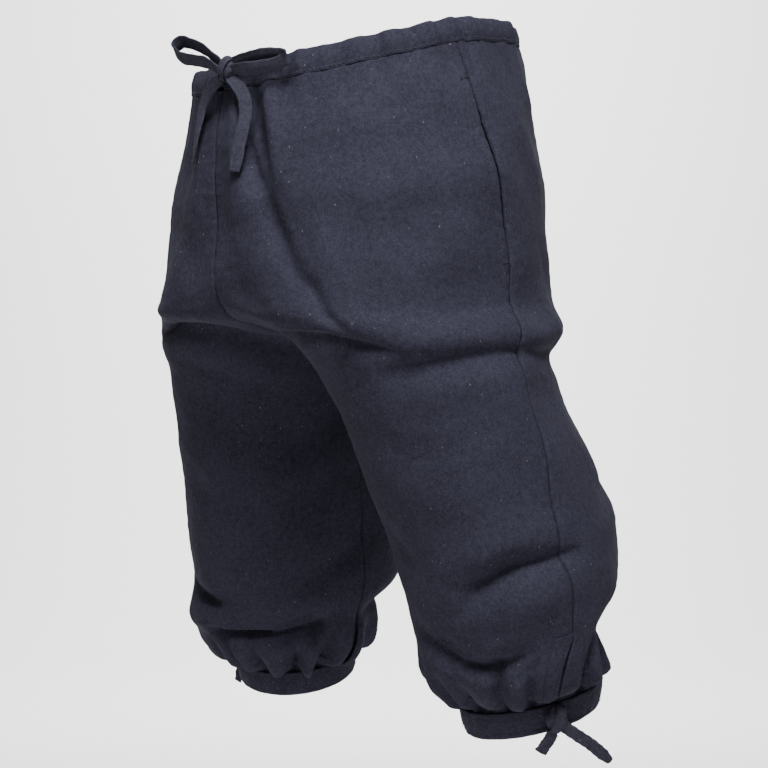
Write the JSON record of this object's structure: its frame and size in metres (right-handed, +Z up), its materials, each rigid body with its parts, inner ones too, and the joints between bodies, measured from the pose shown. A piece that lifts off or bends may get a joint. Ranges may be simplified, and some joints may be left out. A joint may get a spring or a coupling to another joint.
{
  "type": "knee breeches",
  "caption": "Worn, hollow knee breeches with a drawstring waist tied in a bow, side pockets and gathered knee bands with ties.",
  "frame": {"origin": "middle of the waist, at the height of the casing's top edge over the side seams", "axes": "+Z up, the wearer faces -Y, and the wearer's left side is at +X"},
  "size_m": [0.5371, 0.3666, 0.7146],
  "materials": {
    "wool": "fulled wool, matt, dark grey-blue",
    "pocket_wool": "wool, matt, darker, inside the pocket",
    "wool_tape": "folded wool strip, matt"
  },
  "bodies": {
    "root": {"front_left": "wool", "front_right": "wool", "back_left": "wool", "back_right": "wool", "waist_casing": "wool", "knee_band_left": "wool", "knee_band_right": "wool", "slit_hem_left": "wool", "slit_hem_right": "wool", "pocket_left": "pocket_wool", "pocket_right": "pocket_wool", "drawstring_end_left": "wool_tape", "drawstring_end_right": "wool_tape", "bow_knot": "wool_tape", "bow_lead_left": "wool_tape", "bow_lead_right": "wool_tape", "bow_loop_left": "wool_tape", "bow_loop_right": "wool_tape", "bow_tail_left": "wool_tape", "bow_tail_right": "wool_tape", "knee_knot_left": "wool_tape", "knee_knot_right": "wool_tape", "knee_tie_long_left": "wool_tape", "knee_tie_long_right": "wool_tape", "knee_tie_short_left": "wool_tape", "knee_tie_short_right": "wool_tape"}
  },
  "joints": []
}
